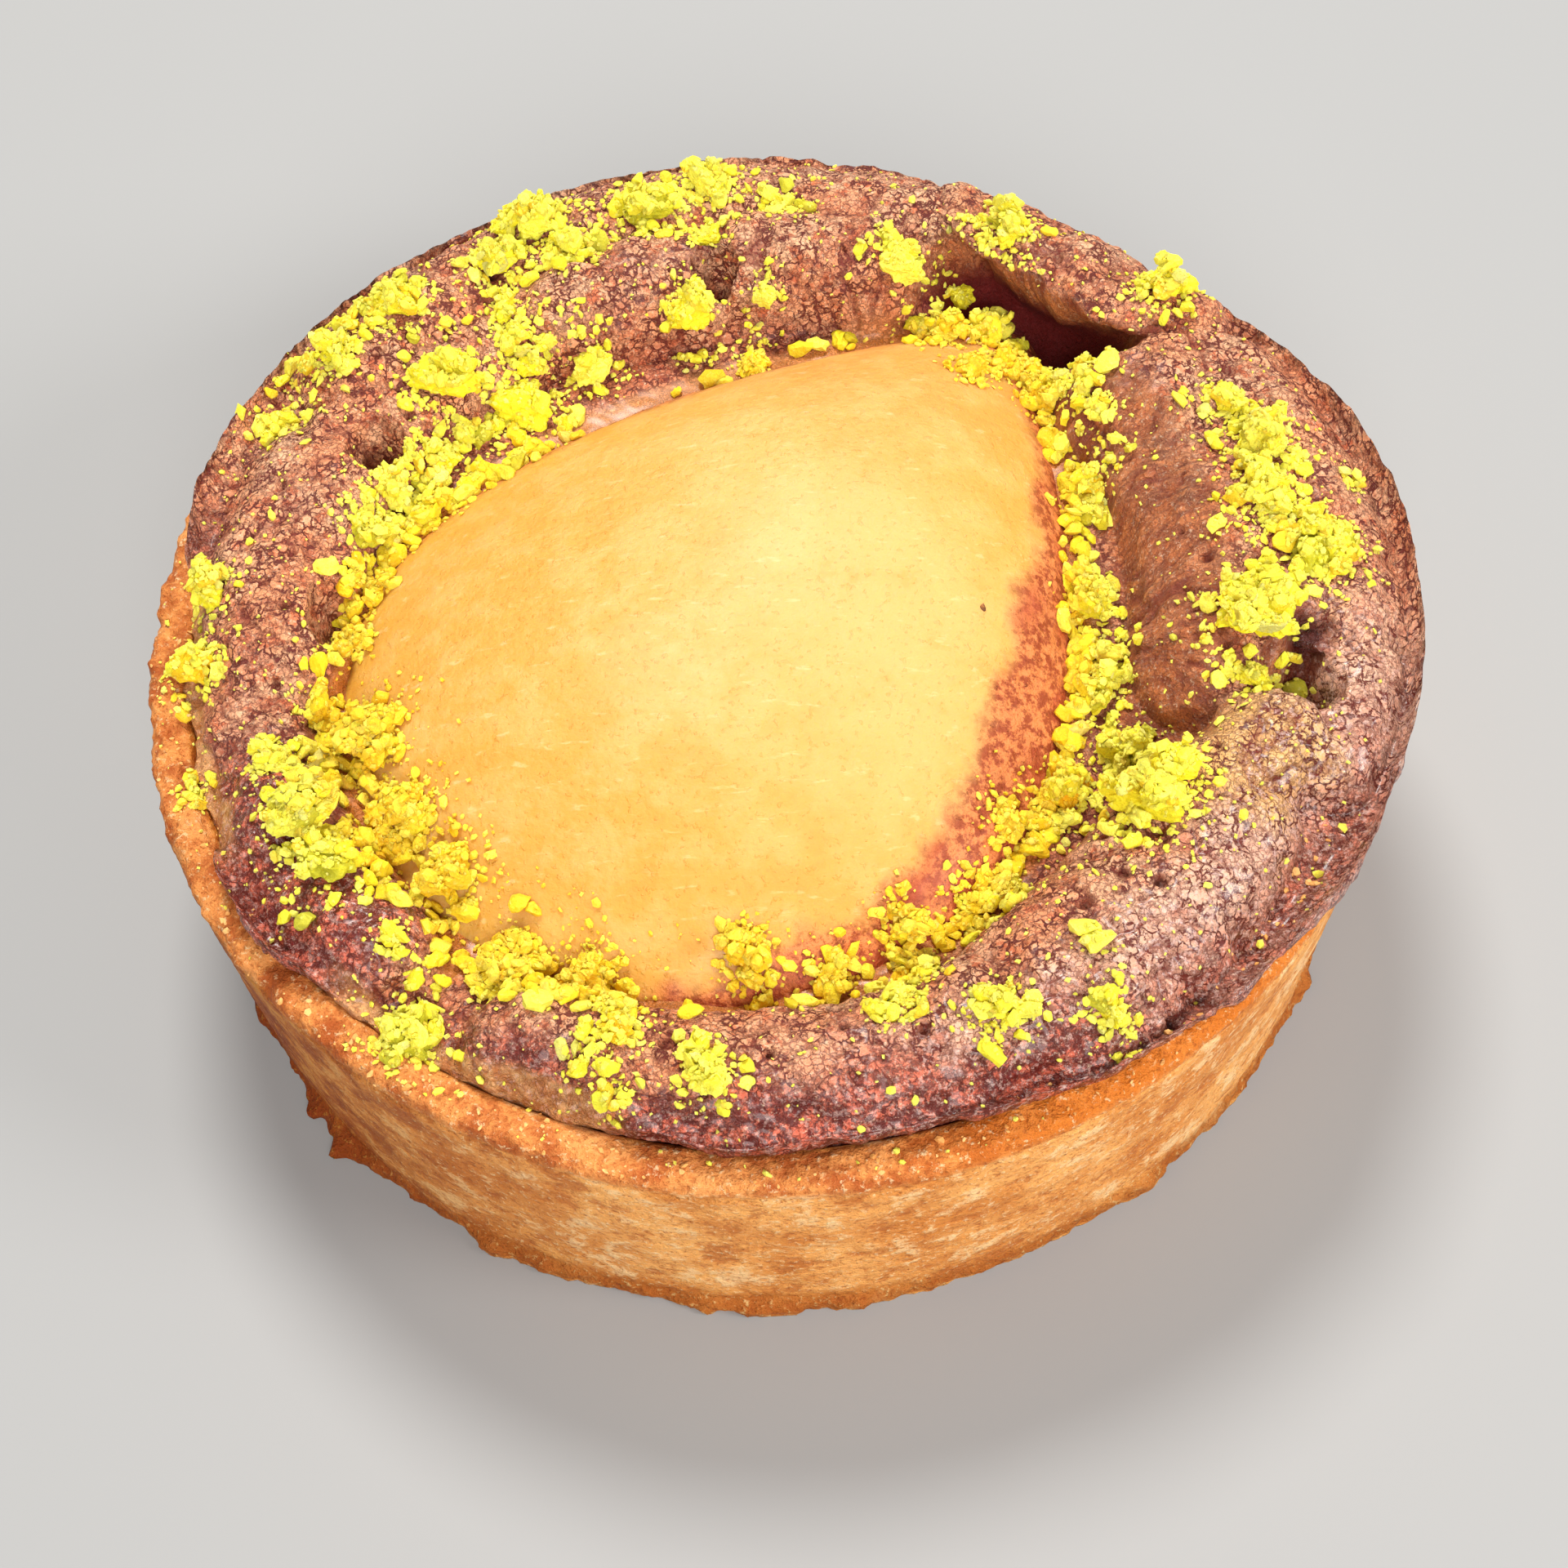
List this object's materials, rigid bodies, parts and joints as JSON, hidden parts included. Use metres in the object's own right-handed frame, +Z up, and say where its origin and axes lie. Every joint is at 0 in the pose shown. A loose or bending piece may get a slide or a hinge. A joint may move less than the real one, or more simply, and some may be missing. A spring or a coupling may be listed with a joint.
{
  "type": "pear tart",
  "caption": "Round straight-sided tart: a baked pastry case filled with puffed almond cream, a half pear set in the middle and chopped pistachio on top.",
  "frame": {"origin": "centre of the flat underside of the pastry case, on the surface the tart stands on", "axes": "+Z up; -Y towards the viewer; +X to the viewer's right"},
  "size_m": [0.1013, 0.0998, 0.0365],
  "materials": {
    "crust": "baked, dry",
    "cream": "baked, fine cracks",
    "pear": "moist, lightly glazed"
  },
  "bodies": {
    "root": {"case": "crust", "filling": "cream", "pear": "pear"}
  },
  "joints": []
}
